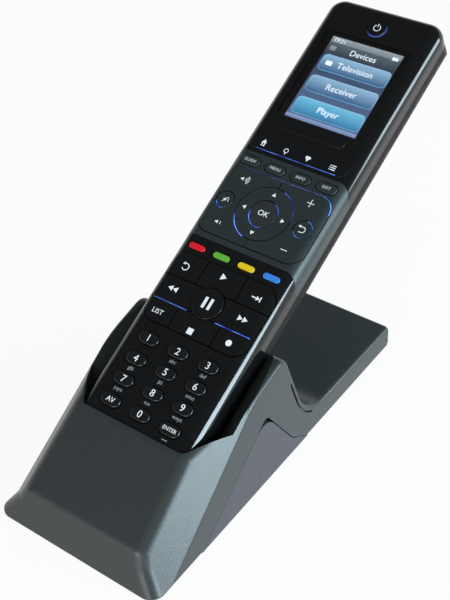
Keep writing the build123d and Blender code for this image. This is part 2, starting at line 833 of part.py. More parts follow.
feet = []
for x in (-foot_x, foot_x):
    for y in (foot_front_y, cradle_l - foot_rear_in):
        pad = prism(Pos(x, y) * Circle(rubber_foot_r), 0, rubber_foot_t)
        base -= prism(Pos(x, y) * Circle(rubber_foot_r + pin_fit), 0, rubber_foot_t)
        feet.append(pad)
parts["cradle_feet"] = Compound(children=feet)

# board and power inlet at the rear
dock_board_low = floor_high + dock_board_lift
inlet_z = dock_board_low + dock_board_t / 2
inlet_end = cradle_l - inlet_rim_gap
inlet_mouth = Plane.XZ * Pos(0, inlet_z) * RectangleRounded(inlet_w, inlet_h, inlet_corner_r)
inlet_bore = Plane.XZ * Pos(0, inlet_z) * RectangleRounded(
    inlet_w - 2 * inlet_wall, inlet_h - 2 * inlet_wall, inlet_corner_r - inlet_wall)
inlet_body = Pos(0, inlet_end, 0) * extrude(inlet_mouth, amount=inlet_l)
inlet_body -= Pos(0, inlet_end, 0) * extrude(inlet_bore, amount=inlet_l - inlet_wall)
tongue = Pos(0, inlet_end - inlet_l / 2 - inlet_wall, inlet_z) * Box(
    inlet_w / 2, inlet_l - 2 * inlet_wall, inlet_tongue_h)
inlet_body += tongue
parts["power_inlet"] = inlet_body
inlet_hole = Plane.XZ * Pos(0, inlet_z) * RectangleRounded(
    inlet_w + 2 * inlet_rim_gap, inlet_h + 2 * inlet_rim_gap, inlet_corner_r)
cover -= Pos(0, cradle_l + overrun, 0) * extrude(inlet_hole, amount=cradle_wall + 2 * overrun)
board_end = inlet_end - inlet_l / 2
dock_board_w = 2 * (post_x - post_r - dock_board_gap)
dock_board = Pos(0, board_end - dock_board_l / 2, inlet_z) * Box(dock_board_w, dock_board_l, dock_board_t)
dock_board -= Pos(0, inlet_end, 0) * extrude(
    Plane.XZ * Pos(0, inlet_z) * Rectangle(inlet_w, inlet_h), amount=inlet_l)
parts["cradle_board"] = dock_board

parts["cradle_cover"] = cover
parts["cradle_base"] = base

# origin: middle of the underside of the whole
boxes = [solid.bounding_box() for solid in parts.values()]
mid_x = (min(b.min.X for b in boxes) + max(b.max.X for b in boxes)) / 2
mid_y = (min(b.min.Y for b in boxes) + max(b.max.Y for b in boxes)) / 2
low_z = min(b.min.Z for b in boxes)
home = Pos(-mid_x, -mid_y, -low_z)
for name, solid in parts.items():
    export_step(home * solid, "parts/" + name + ".step")
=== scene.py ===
import json
import math
import bmesh
import bpy
from mathutils import Matrix, Vector
from mathutils.bvhtree import BVHTree


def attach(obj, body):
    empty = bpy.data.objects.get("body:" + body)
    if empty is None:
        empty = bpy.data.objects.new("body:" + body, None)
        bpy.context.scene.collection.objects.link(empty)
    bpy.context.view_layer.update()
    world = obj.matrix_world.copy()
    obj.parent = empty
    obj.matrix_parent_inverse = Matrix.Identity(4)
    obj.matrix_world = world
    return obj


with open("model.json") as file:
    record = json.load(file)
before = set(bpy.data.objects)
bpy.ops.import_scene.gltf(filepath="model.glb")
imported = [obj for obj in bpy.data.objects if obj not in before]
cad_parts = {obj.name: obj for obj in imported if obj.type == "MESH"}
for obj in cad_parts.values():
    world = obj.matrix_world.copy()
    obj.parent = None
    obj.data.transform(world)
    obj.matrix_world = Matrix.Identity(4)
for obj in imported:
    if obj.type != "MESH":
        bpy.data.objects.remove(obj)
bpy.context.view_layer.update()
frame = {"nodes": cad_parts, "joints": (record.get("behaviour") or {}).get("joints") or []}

# The shells of the remote: two glossy black covers at the ends, a satin grey one between them, and the
# dark rear shell with its battery door. Moulded plastic, held by four screws from under the rear shell.
# The face leans back in the cradle, so its own axes are read from the joints of the frame.
joint = {j["name"]: j for j in frame["joints"]}
face_up = Vector(joint["remote_lift_out"]["axis"]).normalized()
face_out = Vector(joint["key_power_press"]["axis"]).normalized()
ring_pivot = Vector(joint["dpad_up_down"]["pos_m"])
mm = 0.001
ring_v = 111.85
ring_pivot_depth = 3.0
face_foot = ring_pivot - face_up * (ring_v * mm) + face_out * (ring_pivot_depth * mm)
# Places on the face are in mm: u to the right, v up from its foot, and the height above it.
seat = Matrix((
    (1.0, face_up.x, face_out.x, face_foot.x),
    (0.0, face_up.y, face_out.y, face_foot.y),
    (0.0, face_up.z, face_out.z, face_foot.z),
    (0.0, 0.0, 0.0, 1.0),
)) @ Matrix.Scale(mm, 4)


def moulded_grain():
    """Skin of a moulding: a fine spark texture, slight clouding of the colour and handling marks."""
    group = bpy.data.node_groups.new("moulded_grain", "ShaderNodeTree")
    face = group.interface
    for label, kind, start in (("Colour", "NodeSocketColor", (0.1, 0.1, 0.1, 1)),
                               ("Worn Colour", "NodeSocketColor", (0.2, 0.2, 0.2, 1)),
                               ("Clouding", "NodeSocketFloat", 0.3),
                               ("Roughness", "NodeSocketFloat", 0.4),
                               ("Spread", "NodeSocketFloat", 0.1),
                               ("Grain Size", "NodeSocketFloat", 1800.0)):
        socket = face.new_socket(name=label, in_out="INPUT", socket_type=kind)
        socket.default_value = start
    face.new_socket(name="Colour", in_out="OUTPUT", socket_type="NodeSocketColor")
    face.new_socket(name="Roughness", in_out="OUTPUT", socket_type="NodeSocketFloat")
    face.new_socket(name="Height", in_out="OUTPUT", socket_type="NodeSocketFloat")
    tree, link = group.nodes, group.links.new
    given, result = tree.new("NodeGroupInput"), tree.new("NodeGroupOutput")
    place = tree.new("ShaderNodeTexCoord")
    fine, cloud, rub = (tree.new("ShaderNodeTexNoise") for _ in range(3))
    for noise, scale, detail in ((cloud, 55.0, 3.0), (rub, 240.0, 5.0)):
        noise.inputs["Scale"].default_value = scale
        noise.inputs["Detail"].default_value = detail
        link(place.outputs["Object"], noise.inputs["Vector"])
    fine.inputs["Detail"].default_value = 2.0
    link(place.outputs["Object"], fine.inputs["Vector"])
    link(given.outputs["Grain Size"], fine.inputs["Scale"])
    share = tree.new("ShaderNodeMath")
    share.operation = "MULTIPLY"
    link(cloud.outputs["Fac"], share.inputs[0])
    link(given.outputs["Clouding"], share.inputs[1])
    tint = tree.new("ShaderNodeMix")
    tint.data_type = "RGBA"
    link(share.outputs[0], tint.inputs["Factor"])
    link(given.outputs["Colour"], tint.inputs[6])
    link(given.outputs["Worn Colour"], tint.inputs[7])
    link(tint.outputs[2], result.inputs["Colour"])
    marks = tree.new("ShaderNodeMapRange")
    marks.inputs["From Min"].default_value = 0.35
    marks.inputs["From Max"].default_value = 0.75
    link(rub.outputs["Fac"], marks.inputs["Value"])
    spread = tree.new("ShaderNodeMath")
    spread.operation = "MULTIPLY_ADD"
    link(marks.outputs["Result"], spread.inputs[0])
    link(given.outputs["Spread"], spread.inputs[1])
    link(given.outputs["Roughness"], spread.inputs[2])
    link(spread.outputs[0], result.inputs["Roughness"])
    link(fine.outputs["Fac"], result.inputs["Height"])
    return group


grain = moulded_grain()


def new_finish(name):
    """A new material, with its nodes, what links them, and its plain shader."""
    stuff = bpy.data.materials.new(name)
    stuff.use_nodes = True
    tree = stuff.node_tree.nodes
    return stuff, tree, stuff.node_tree.links.new, tree["Principled BSDF"]


def plastic(name, colour, worn, rough, spread=0.06, size=1800.0, depth=0.00002, specular=0.5, coat=0.0,
            metallic=0.0):
    """A moulding's material: the grain group feeds a plain shader."""
    stuff, tree, link, shader = new_finish(name)
    skin = tree.new("ShaderNodeGroup")
    skin.node_tree = grain
    skin.inputs["Colour"].default_value = (*colour, 1)
    skin.inputs["Worn Colour"].default_value = (*worn, 1)
    skin.inputs["Roughness"].default_value = rough
    skin.inputs["Spread"].default_value = spread
    skin.inputs["Grain Size"].default_value = size
    bump = tree.new("ShaderNodeBump")
    bump.inputs["Strength"].default_value = 1.0
    bump.inputs["Distance"].default_value = depth
    link(skin.outputs["Colour"], shader.inputs["Base Color"])
    link(skin.outputs["Roughness"], shader.inputs["Roughness"])
    link(skin.outputs["Height"], bump.inputs["Height"])
    link(bump.outputs["Normal"], shader.inputs["Normal"])
    shader.inputs["Specular IOR Level"].default_value = specular
    shader.inputs["Coat Weight"].default_value = coat
    shader.inputs["Coat Roughness"].default_value = 0.05
    shader.inputs["Metallic"].default_value = metallic
    return stuff


def finish_node(stuff, *nodes):
    """Gives CAD nodes their finish."""
    for node in nodes:
        slots = frame["nodes"][node].data.materials
        slots.clear()
        slots.append(stuff)


piano_black = plastic("piano_black", (0.004, 0.0045, 0.005), (0.009, 0.010, 0.011), 0.08, spread=0.05,
                      size=900.0, depth=0.000004)
satin_grey = plastic("satin_grey", (0.022, 0.031, 0.032), (0.031, 0.041, 0.043), 0.33, spread=0.08,
                     size=2600.0)
rear_black = plastic("rear_black", (0.003, 0.0032, 0.0034), (0.007, 0.0074, 0.0078), 0.38, spread=0.1,
                     size=1500.0, depth=0.00003, specular=0.12)
finish_node(piano_black, "upper_front_cover", "lower_front_cover")
finish_node(satin_grey, "middle_front_cover")
finish_node(rear_black, "rear_shell", "battery_door")

# The charging cradle: a dark satin hood over a slightly lighter base, four rubber feet and the power
# inlet at the rear. Textured moulded plastic, screwed together from below.
hood_grey = plastic("hood_grey", (0.026, 0.033, 0.034), (0.032, 0.040, 0.041), 0.36, spread=0.02,
                    size=1600.0, depth=0.00003, specular=0.55)
base_grey = plastic("base_grey", (0.046, 0.045, 0.056), (0.060, 0.060, 0.072), 0.42, spread=0.1,
                    size=1400.0, depth=0.00005)
foot_rubber = plastic("foot_rubber", (0.012, 0.012, 0.012), (0.03, 0.03, 0.03), 0.8, size=1000.0,
                      depth=0.00008)
inlet_steel = plastic("inlet_steel", (0.55, 0.55, 0.57), (0.42, 0.42, 0.44), 0.28, metallic=1.0)
finish_node(hood_grey, "cradle_cover")
finish_node(base_grey, "cradle_base")
finish_node(foot_rubber, "cradle_feet")
finish_node(inlet_steel, "power_inlet")

# Metal inside and under: plated screws, gold contact pads and the sprung pins they rest on.
# Turned steel and plated brass.
screw_steel = plastic("screw_steel", (0.45, 0.45, 0.46), (0.3, 0.3, 0.31), 0.32, metallic=1.0)
contact_gold = plastic("contact_gold", (0.83, 0.62, 0.28), (0.7, 0.5, 0.22), 0.22, metallic=1.0)
finish_node(screw_steel, "case_screws", "cradle_screws")
finish_node(contact_gold, "charge_pads", "contact_pins")

# Parts inside: the silicone keypad mat, the two circuit boards, the battery pack, the infrared emitters
# behind their dark red window, and the ring that carries the direction pad.
silicone = plastic("silicone", (0.30, 0.31, 0.33), (0.24, 0.25, 0.27), 0.6)
board_green = plastic("board_green", (0.012, 0.09, 0.035), (0.02, 0.14, 0.06), 0.35, size=500.0,
                      depth=0.00004)
battery_wrap = plastic("battery_wrap", (0.02, 0.11, 0.05), (0.04, 0.16, 0.08), 0.3, coat=0.5)
infrared_red = plastic("infrared_red", (0.012, 0.001, 0.002), (0.02, 0.002, 0.003), 0.08, spread=0.02,
                       depth=0.000004)
emitter_violet = plastic("emitter_violet", (0.06, 0.03, 0.10), (0.09, 0.05, 0.13), 0.12)
finish_node(silicone, "keypad_mat")
finish_node(board_green, "circuit_board", "cradle_board")
finish_node(battery_wrap, "battery_pack")
finish_node(infrared_red, "infrared_window")
finish_node(emitter_violet, "infrared_emitters")
finish_node(rear_black, "dpad_carrier")

# The keys: glossy black domes for the numbers, a glossy black block of transport keys, four coloured
# bars, and satin grey keys on the middle cover. Each presses on its own dome of the mat.
number_keys = {
    "key_1": "1", "key_2": "2", "key_3": "3", "key_4": "4", "key_5": "5", "key_6": "6",
    "key_7": "7", "key_8": "8", "key_9": "9", "key_av": "AV", "key_0": "0", "key_enter": "ENTER",
}
transport_keys = ("key_replay", "key_play", "key_skip", "key_rewind", "key_pause", "key_forward",
                  "key_list", "key_stop", "key_record")
key_black = plastic("key_black", (0.006, 0.0065, 0.007), (0.012, 0.013, 0.014), 0.16, spread=0.08,
                    size=1200.0, depth=0.000006, specular=0.6)
deck_black = plastic("deck_black", (0.0045, 0.005, 0.0055), (0.010, 0.011, 0.012), 0.11, spread=0.06,
                     size=1200.0, depth=0.000005)
key_satin = plastic("key_satin", (0.021, 0.029, 0.030), (0.030, 0.039, 0.041), 0.32, spread=0.08,
                    size=2600.0)
ok_satin = plastic("ok_satin", (0.024, 0.029, 0.030), (0.034, 0.041, 0.042), 0.30, spread=0.08,
                   size=2600.0)
finish_node(key_black, *number_keys)
finish_node(deck_black, *transport_keys)
finish_node(piano_black, "key_power", "touch_strip", "slider_strip")
finish_node(key_satin, "key_guide", "key_menu", "key_info", "key_exit", "key_mute", "key_last",
            "volume_rocker", "channel_rocker", "dpad_ring")
finish_node(ok_satin, "key_ok")
colour_bars = (("key_red", (0.75, 0.012, 0.03), (0.55, 0.008, 0.02)),
               ("key_green", (0.14, 0.48, 0.045), (0.10, 0.36, 0.03)),
               ("key_yellow", (0.88, 0.62, 0.012), (0.72, 0.5, 0.01)),
               ("key_blue", (0.045, 0.26, 0.78), (0.03, 0.19, 0.6)))
for node, colour, worn in colour_bars:
    finish_node(plastic(node + "_lacquer", colour, worn, 0.18, spread=0.05, coat=0.4), node)

# Printing on the keys and covers: white figures, words and signs, and the small grey letters below the
# number keys. Thin raised ink, laid on the surface of whatever carries it.
ink_t = 0.05
ink_lift = 0.012
ink_step = 0.9
merge_within = 0.001
look_from, look_reach = 12.0, 30.0
surfaces = {}


def ink(name, colour, glow):
    """Printed ink that a little light comes through."""
    stuff = plastic(name, colour, tuple(c * 0.85 for c in colour), 0.45, spread=0.1, depth=0.000005)
    shader = stuff.node_tree.nodes["Principled BSDF"]
    shader.inputs["Emission Color"].default_value = (*colour, 1)
    shader.inputs["Emission Strength"].default_value = glow
    return stuff


white_ink = ink("white_ink", (0.72, 0.76, 0.80), 0.25)
pale_ink = ink("pale_ink", (0.52, 0.57, 0.62), 0.15)
grey_ink = ink("grey_ink", (0.30, 0.34, 0.38), 0.08)


def surface_of(node):
    """Search tree over a CAD node's triangles."""
    if node not in surfaces:
        mesh = frame["nodes"][node].data
        corners = [v.co.copy() for v in mesh.vertices]
        surfaces[node] = BVHTree.FromPolygons(corners, [tuple(f.vertices) for f in mesh.polygons])
    return surfaces[node]


def height_on(node, point):
    """Height of the node's face above the face plane under a point, in mm, or None."""
    start = seat @ Vector((point.x, point.y, look_from))
    spot = surface_of(node).ray_cast(start, -face_out, look_reach * mm)[0]
    return None if spot is None else (seat.inverted() @ spot).z


def add_piece(shape, name, body, stuff, smooth=False):
    """Turns a finished bmesh in world metres into a piece that rides on a body."""
    bmesh.ops.recalc_face_normals(shape, faces=shape.faces)
    mesh = bpy.data.meshes.new(name)
    shape.to_mesh(mesh)
    shape.free()
    mesh.materials.append(stuff)
    if smooth:
        mesh.polygons.foreach_set("use_smooth", [True] * len(mesh.polygons))
    piece = bpy.data.objects.new(name, mesh)
    bpy.context.scene.collection.objects.link(piece)
    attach(piece, body)


def bar(shape, u, v, w, h, turn=0.0):
    """A flat bar in the print."""
    made = bmesh.ops.create_grid(shape, x_segments=1, y_segments=1, size=0.5)
    place = Matrix.Translation((u, v, 0)) @ Matrix.Rotation(math.radians(turn), 4, "Z")
    bmesh.ops.transform(shape, verts=made["verts"], matrix=place @ Matrix.Diagonal((w, h, 1, 1)))


def arrow(shape, u, v, size, turn=0.0, squeeze=1.0):
    """A flat triangle, pointing along +u when it isn't turned."""
    made = bmesh.ops.create_circle(shape, cap_ends=True, segments=3, radius=size)
    place = Matrix.Translation((u, v, 0)) @ Matrix.Rotation(math.radians(turn - 90), 4, "Z")
    bmesh.ops.transform(shape, verts=made["verts"], matrix=place @ Matrix.Diagonal((squeeze, 1, 1, 1)))


def disc(shape, u, v, radius):
    """A flat dot."""
    made = bmesh.ops.create_circle(shape, cap_ends=True, segments=24, radius=radius)
    bmesh.ops.transform(shape, verts=made["verts"], matrix=Matrix.Translation((u, v, 0)))


def arc(shape, u, v, radius, line, start, end, steps=12):
    """A flat curved line, made by spinning a short edge round a point."""
    first = math.radians(start)
    ends = [shape.verts.new((u + r * math.cos(first), v + r * math.sin(first), 0))
            for r in (radius - line / 2, radius + line / 2)]
    edge = shape.edges.new(ends)
    bmesh.ops.spin(shape, geom=ends + [edge], cent=(u, v, 0), axis=(0, 0, 1),
                   angle=math.radians(end - start), steps=steps, use_merge=end - start == 360)


def words(shape, text, u, v, size, wide=1.0):
    """Flat letters, centred on a point."""
    curve = bpy.data.curves.new("letters", "FONT")
    curve.body = text
    curve.size = size
    curve.align_x = "CENTER"
    curve.align_y = "CENTER"
    curve.resolution_u = 3
    holder = bpy.data.objects.new("letters", curve)
    mesh = bpy.data.meshes.new_from_object(holder)
    bpy.data.objects.remove(holder)
    bpy.data.curves.remove(curve)
    before = set(shape.verts)
    shape.from_mesh(mesh)
    bpy.data.meshes.remove(mesh)
    fresh = [p for p in shape.verts if p not in before]
    bmesh.ops.transform(shape, verts=fresh, matrix=Matrix.Translation((u, v, 0))
                        @ Matrix.Diagonal((wide, 1, 1, 1)))


def thicken(shape, thick):
    """Gives a flat shape its thickness, upwards."""
    top = bmesh.ops.extrude_face_region(shape, geom=list(shape.faces))
    raised = [g for g in top["geom"] if isinstance(g, bmesh.types.BMVert)]
    bmesh.ops.translate(shape, verts=raised, vec=(0, 0, thick))


def lay_print(shape, name, node, body, stuff):
    """Lays a flat print on a node's surface and gives it its thickness."""
    bmesh.ops.remove_doubles(shape, verts=shape.verts, dist=merge_within)
    bmesh.ops.triangulate(shape, faces=shape.faces)
    for _ in range(3):
        long_edges = [e for e in shape.edges if e.calc_length() > ink_step]
        if not long_edges:
            break
        bmesh.ops.subdivide_edges(shape, edges=long_edges, cuts=1)
        bmesh.ops.triangulate(shape, faces=shape.faces)
    heights = [height_on(node, p.co) for p in shape.verts]
    known = [h for h in heights if h is not None]
    middle = sum(known) / len(known)
    for p, h in zip(shape.verts, heights):
        p.co.z = (middle if h is None else h) + ink_lift
    thicken(shape, ink_t)
    bmesh.ops.transform(shape, verts=shape.verts, matrix=seat)
    add_piece(shape, name, body, stuff)


digit_pitch_u, digit_pitch_v, digit_top_v = 14.79, 9.64, 44.33
print_sizes = {"AV": (3.1, 1.0), "ENTER": (2.3, 0.95)}
figure_size = (4.3, 1.0)
letters_down, letters_size = 4.35, 2.3
dash_down, dash_w, dash_h = 4.4, 2.4, 0.35
small_letters = {"key_2": "abc", "key_3": "def", "key_4": "ghi", "key_5": "jkl", "key_6": "mno",
                 "key_7": "pqrs", "key_8": "tuv", "key_9": "wxyz"}
for count, (node, text) in enumerate(number_keys.items()):
    row, column = divmod(count, 3)
    u, v = (column - 1) * digit_pitch_u, digit_top_v - row * digit_pitch_v
    figure = bmesh.new()
    words(figure, text, u, v, *print_sizes.get(text, figure_size))
    lay_print(figure, node + "_print", node, node, white_ink)
    if node in small_letters:
        letters = bmesh.new()
        words(letters, small_letters[node], u, v - letters_down, letters_size)
        lay_print(letters, node + "_letters", "lower_front_cover", "remote", grey_ink)
dash = bmesh.new()
bar(dash, digit_pitch_u, digit_top_v - 3 * digit_pitch_v - dash_down, dash_w, dash_h)
lay_print(dash, "enter_dash", "lower_front_cover", "remote", grey_ink)

# Signs on the transport keys: arrows, bars, a dot, a square and one word, in white ink like the figures.
# Each row names the print, its key and its strokes; a stroke is a shape and its place in mm.
upper_row_v, middle_row_v = 77.6, 67.4


def loudspeaker(shape, u, v, size):
    """Small loudspeaker outline: a block and its cone."""
    bar(shape, u - 0.8 * size, v, 0.55 * size, 0.75 * size)
    arrow(shape, u - 0.25 * size, v, 0.95 * size, 180)


def print_signs(table, stuff, body=None):
    """Prints each row of a table on its node; the print rides on the node's body, or on a given one."""
    for name, node, *strokes in table:
        shape = bmesh.new()
        for stroke, *place in strokes:
            stroke(shape, *place)
        lay_print(shape, name, node, body or node, stuff)


print_signs((
    ("replay_sign", "key_replay", (arc, -18.0, 78.0, 1.5, 0.4, -150, 120), (arrow, -19.2, 79.3, 0.8, 200)),
    ("play_sign", "key_play", (arrow, -0.4, 80.2, 1.75, 0)),
    ("skip_sign", "key_skip", (bar, 16.3, upper_row_v, 2.2, 0.5), (arrow, 18.0, upper_row_v, 1.2, 0),
     (bar, 19.4, upper_row_v, 0.5, 2.3)),
    ("rewind_sign", "key_rewind", (arrow, -16.1, middle_row_v, 1.45, 180),
     (arrow, -18.5, middle_row_v, 1.45, 180)),
    ("forward_sign", "key_forward", (arrow, 15.6, middle_row_v, 1.45, 0),
     (arrow, 18.0, middle_row_v, 1.45, 0)),
    ("pause_sign", "key_pause", (bar, -1.35, middle_row_v, 1.3, 5.0), (bar, 1.35, middle_row_v, 1.3, 5.0)),
    ("list_word", "key_list", (words, "LIST", -18.1, 56.0, 3.0)),
    ("stop_sign", "key_stop", (bar, -0.4, 54.1, 2.7, 2.7)),
    ("record_sign", "key_record", (disc, 17.2, 56.3, 1.35)),
), white_ink)

# Signs on the middle cover's keys: sound waves and a loudspeaker on the volume key, plus and minus on
# the channel key, four arrows on the ring, OK, mute and return in white ink, and the dimmer menu words.
arrow_out = 9.3
louder_v, softer_v = 123.2, 101.3
wave_spread = (-48, 48, 8)
menu_v, menu_pitch = 132.28, 12.57
print_signs((
    ("volume_signs", "volume_rocker", (loudspeaker, -16.9, louder_v, 1.0),
     *((arc, -16.3, louder_v, radius, 0.26, *wave_spread) for radius in (0.9, 1.65, 2.4)),
     (loudspeaker, -16.6, softer_v, 1.0), (arc, -16.0, softer_v, 0.9, 0.26, *wave_spread)),
    ("channel_signs", "channel_rocker", (bar, 16.4, 123.5, 3.4, 0.28), (bar, 16.4, 124.5, 0.28, 1.6),
     (bar, 16.4, 122.5, 0.28, 1.6), (bar, 16.8, 100.6, 3.0, 0.3)),
    ("ring_arrows", "dpad_ring", (arrow, arrow_out, ring_v, 1.1, 0), (arrow, -arrow_out, ring_v, 1.1, 180),
     (arrow, 0, ring_v + arrow_out, 1.1, 90), (arrow, 0, ring_v - arrow_out, 1.1, 270)),
    ("ok_word", "key_ok", (words, "OK", 0, ring_v, 3.5)),
    ("mute_sign", "key_mute", (loudspeaker, -18.9, ring_v, 0.95), (bar, -19.1, ring_v, 3.4, 0.26, 52),
     (bar, -17.6, ring_v, 0.26, 1.6)),
    ("return_sign", "key_last", (arc, 19.3, 111.5, 1.25, 0.34, -90, 90, 8), (bar, 18.6, 112.75, 1.5, 0.34),
     (bar, 18.7, 110.25, 1.3, 0.34), (arrow, 17.6, 112.75, 0.8, 180)),
), white_ink)
print_signs(tuple(
    ("key_%s_word" % text.lower(), "key_" + text.lower(),
     (words, text, (count - 1.5) * menu_pitch, menu_v, 1.95))
    for count, text in enumerate(("GUIDE", "MENU", "INFO", "EXIT"))
), pale_ink)

# Signs on the touch strip: a house, a search sign, a heart and a list, and the ring and stroke of the
# power key. Thin white ink on gloss black.
power_v = 210.3
print_signs((
    ("home_sign", "touch_strip", (arrow, -17.8, 142.6, 1.25, 90, 1.15), (bar, -18.35, 141.15, 0.55, 1.5),
     (bar, -17.25, 141.15, 0.55, 1.5)),
    ("search_sign", "touch_strip", (arc, -6.5, 141.9, 0.95, 0.3, 0, 360, 20), (bar, -6.5, 140.5, 0.34, 0.9)),
    ("heart_sign", "touch_strip", (disc, 3.72, 142.25, 0.72), (disc, 4.78, 142.25, 0.72),
     (arrow, 4.25, 141.55, 1.22, 270)),
    ("list_sign", "touch_strip", *(
        (bar, u, 141.7 + up, w, 0.42) for up in (-0.95, 0.0, 0.95) for u, w in ((15.2, 0.5), (16.8, 2.0)))),
), white_ink, "remote")
print_signs((
    ("power_sign", "key_power", (arc, 0, power_v, 1.55, 0.36, 122, 418, 24), (bar, 0, 211.6, 0.36, 1.7)),
), white_ink)

# The lit display: a grey status line, a title line, three glossy blue bars and a pale lower line, on a
# dark blue ground. The panel sits under a clear flat window, held by the upper cover.
display_u, display_v = 0.0, 179.9
display_w, display_h = 34.85, 43.56
panel_gap = 0.03
panel_top = height_on("lcd_module", Vector((display_u, display_v, 0)))


def lit(name, low, high, glow):
    """A lit patch of the display, shaded from its lower to its upper edge by its own UV map."""
    stuff, tree, link, shader = new_finish(name)
    place = tree.new("ShaderNodeUVMap")
    place.uv_map = "panel"
    split = tree.new("ShaderNodeSeparateXYZ")
    ramp = tree.new("ShaderNodeValToRGB")
    ramp.color_ramp.elements[0].color = (*low, 1)
    ramp.color_ramp.elements[1].color = (*high, 1)
    link(place.outputs["UV"], split.inputs[0])
    link(split.outputs["Y"], ramp.inputs["Fac"])
    link(ramp.outputs["Color"], shader.inputs["Base Color"])
    link(ramp.outputs["Color"], shader.inputs["Emission Color"])
    shader.inputs["Emission Strength"].default_value = glow
    shader.inputs["Roughness"].default_value = 0.3
    return stuff


def patch(name, u, v, w, h, corner, level, stuff):
    """A rounded patch of the display, with a UV map over its own width and height."""
    shape = bmesh.new()
    made = bmesh.ops.create_grid(shape, x_segments=1, y_segments=1, size=0.5)
    bmesh.ops.transform(shape, verts=made["verts"], matrix=Matrix.Diagonal((w, h, 1, 1)))
    if corner:
        bmesh.ops.bevel(shape, geom=list(shape.verts), offset=corner, segments=6, profile=0.5,
                        affect="VERTICES", material=-1)
    thicken(shape, panel_gap)
    chart = shape.loops.layers.uv.new("panel")
    for f in shape.faces:
        for corner_of in f.loops:
            spot = corner_of.vert.co
            corner_of[chart].uv = (spot.x / w + 0.5, spot.y / h + 0.5)
    place = Matrix.Translation((u, v, panel_top + panel_gap * level))
    bmesh.ops.transform(shape, verts=shape.verts, matrix=seat @ place)
    add_piece(shape, name, "remote", stuff)


def panel_words(name, text, u, v, size, level, stuff):
    """Letters on the display, as a thin layer above its patches."""
    shape = bmesh.new()
    words(shape, text, u, v, size)
    bmesh.ops.remove_doubles(shape, verts=shape.verts, dist=merge_within)
    thicken(shape, panel_gap)
    place = Matrix.Translation((0, 0, panel_top + panel_gap * level))
    bmesh.ops.transform(shape, verts=shape.verts, matrix=seat @ place)
    add_piece(shape, name, "remote", stuff)


display_dark = plastic("display_dark", (0.006, 0.008, 0.012), (0.01, 0.012, 0.016), 0.2)
finish_node(display_dark, "lcd_module")
ground_lit = lit("ground_lit", (0.10, 0.16, 0.30), (0.010, 0.022, 0.045), 0.75)
status_lit = lit("status_lit", (0.20, 0.24, 0.27), (0.34, 0.38, 0.41), 0.7)
title_lit = lit("title_lit", (0.035, 0.05, 0.07), (0.10, 0.125, 0.15), 0.7)
rim_lit = lit("rim_lit", (0.16, 0.36, 0.55), (0.34, 0.56, 0.72), 0.75)
bar_lit = lit("bar_lit", (0.035, 0.11, 0.24), (0.27, 0.44, 0.60), 0.8)
bar_lit_next = lit("bar_lit_next", (0.03, 0.19, 0.36), (0.16, 0.48, 0.68), 0.8)
foot_lit = lit("foot_lit", (0.16, 0.22, 0.42), (0.30, 0.40, 0.60), 0.7)
letter_lit = lit("letter_lit", (0.80, 0.86, 0.92), (0.85, 0.9, 0.95), 1.0)
display_top = display_v + display_h / 2
status_h, title_h, title_down, foot_h = 3.0, 5.6, 5.9, 1.8
rim_u, rim_w, rim_corner = 0.4, 33.4, 2.0
bar_w, bar_corner, bar_less = 32.7, 1.7, 0.7
patch("display_ground", display_u, display_v, display_w, display_h, 0, 1, ground_lit)
patch("display_status", display_u, display_top - status_h / 2, display_w, status_h, 0, 2, status_lit)
patch("display_title", display_u, display_top - title_down, display_w, title_h, 0, 2, title_lit)
panel_words("display_time", "19:21", -13.2, display_top - 1.6, 2.7, 3, letter_lit)
patch("display_battery", 14.6, display_top - 2.6, 2.8, 1.5, 0.3, 4, letter_lit)
patch("display_mark", -14.4, display_top - 6.0, 2.9, 2.3, 0.4, 3, status_lit)
panel_words("display_title_word", "Devices", 0.6, display_top - title_down, 4.1, 3, letter_lit)
bars = (("Television", 13.5, 8.5, bar_lit, 0.8), ("Receiver", 24.9, 8.5, bar_lit, 0.3),
        ("Player", 36.6, 8.7, bar_lit_next, 0.3))
for count, (text, down, tall, stuff, aside) in enumerate(bars):
    level_v = display_top - down
    patch("display_rim_%d" % count, rim_u, level_v, rim_w, tall, rim_corner, 2, rim_lit)
    patch("display_bar_%d" % count, rim_u, level_v, bar_w, tall - bar_less, bar_corner, 3, stuff)
    panel_words("display_bar_word_%d" % count, text, aside, level_v, 4.3, 4, letter_lit)
patch("display_icon", -12.2, display_top - 13.5, 3.0, 2.2, 0.5, 4, letter_lit)
patch("display_foot", display_u, display_top - display_h + foot_h / 2, display_w, foot_h, 0, 2, foot_lit)

window_clear, _, _, window_shader = new_finish("window_clear")
window_shader.inputs["Base Color"].default_value = (0.96, 0.97, 0.98, 1)
window_shader.inputs["Transmission Weight"].default_value = 1.0
window_shader.inputs["Roughness"].default_value = 0.015
window_shader.inputs["IOR"].default_value = 1.45
finish_node(window_clear, "screen_window")

# Backlight in the gaps between the keys: fine blue lines round the direction ring, OK, mute and return,
# between two rows of transport keys, under the touch strip and round the power key. Thin light guides.
line_r = 0.095
line_depth = -0.2
line_step = 6


def blue_light(name, glow):
    """Blue light from a guide, a little uneven along its length."""
    stuff, tree, link, shader = new_finish(name)
    place, noise, ramp = (tree.new(kind) for kind in ("ShaderNodeTexCoord", "ShaderNodeTexNoise",
                                                      "ShaderNodeValToRGB"))
    noise.inputs["Scale"].default_value = 180.0
    ramp.color_ramp.elements[0].position = 0.35
    ramp.color_ramp.elements[0].color = (0.004, 0.02, 0.28, 1)
    ramp.color_ramp.elements[1].position = 0.68
    ramp.color_ramp.elements[1].color = (0.13, 0.30, 0.95, 1)
    link(place.outputs["Object"], noise.inputs["Vector"])
    link(noise.outputs["Fac"], ramp.inputs["Fac"])
    link(ramp.outputs["Color"], shader.inputs["Emission Color"])
    shader.inputs["Base Color"].default_value = (0.02, 0.08, 0.4, 1)
    shader.inputs["Emission Strength"].default_value = glow
    return stuff


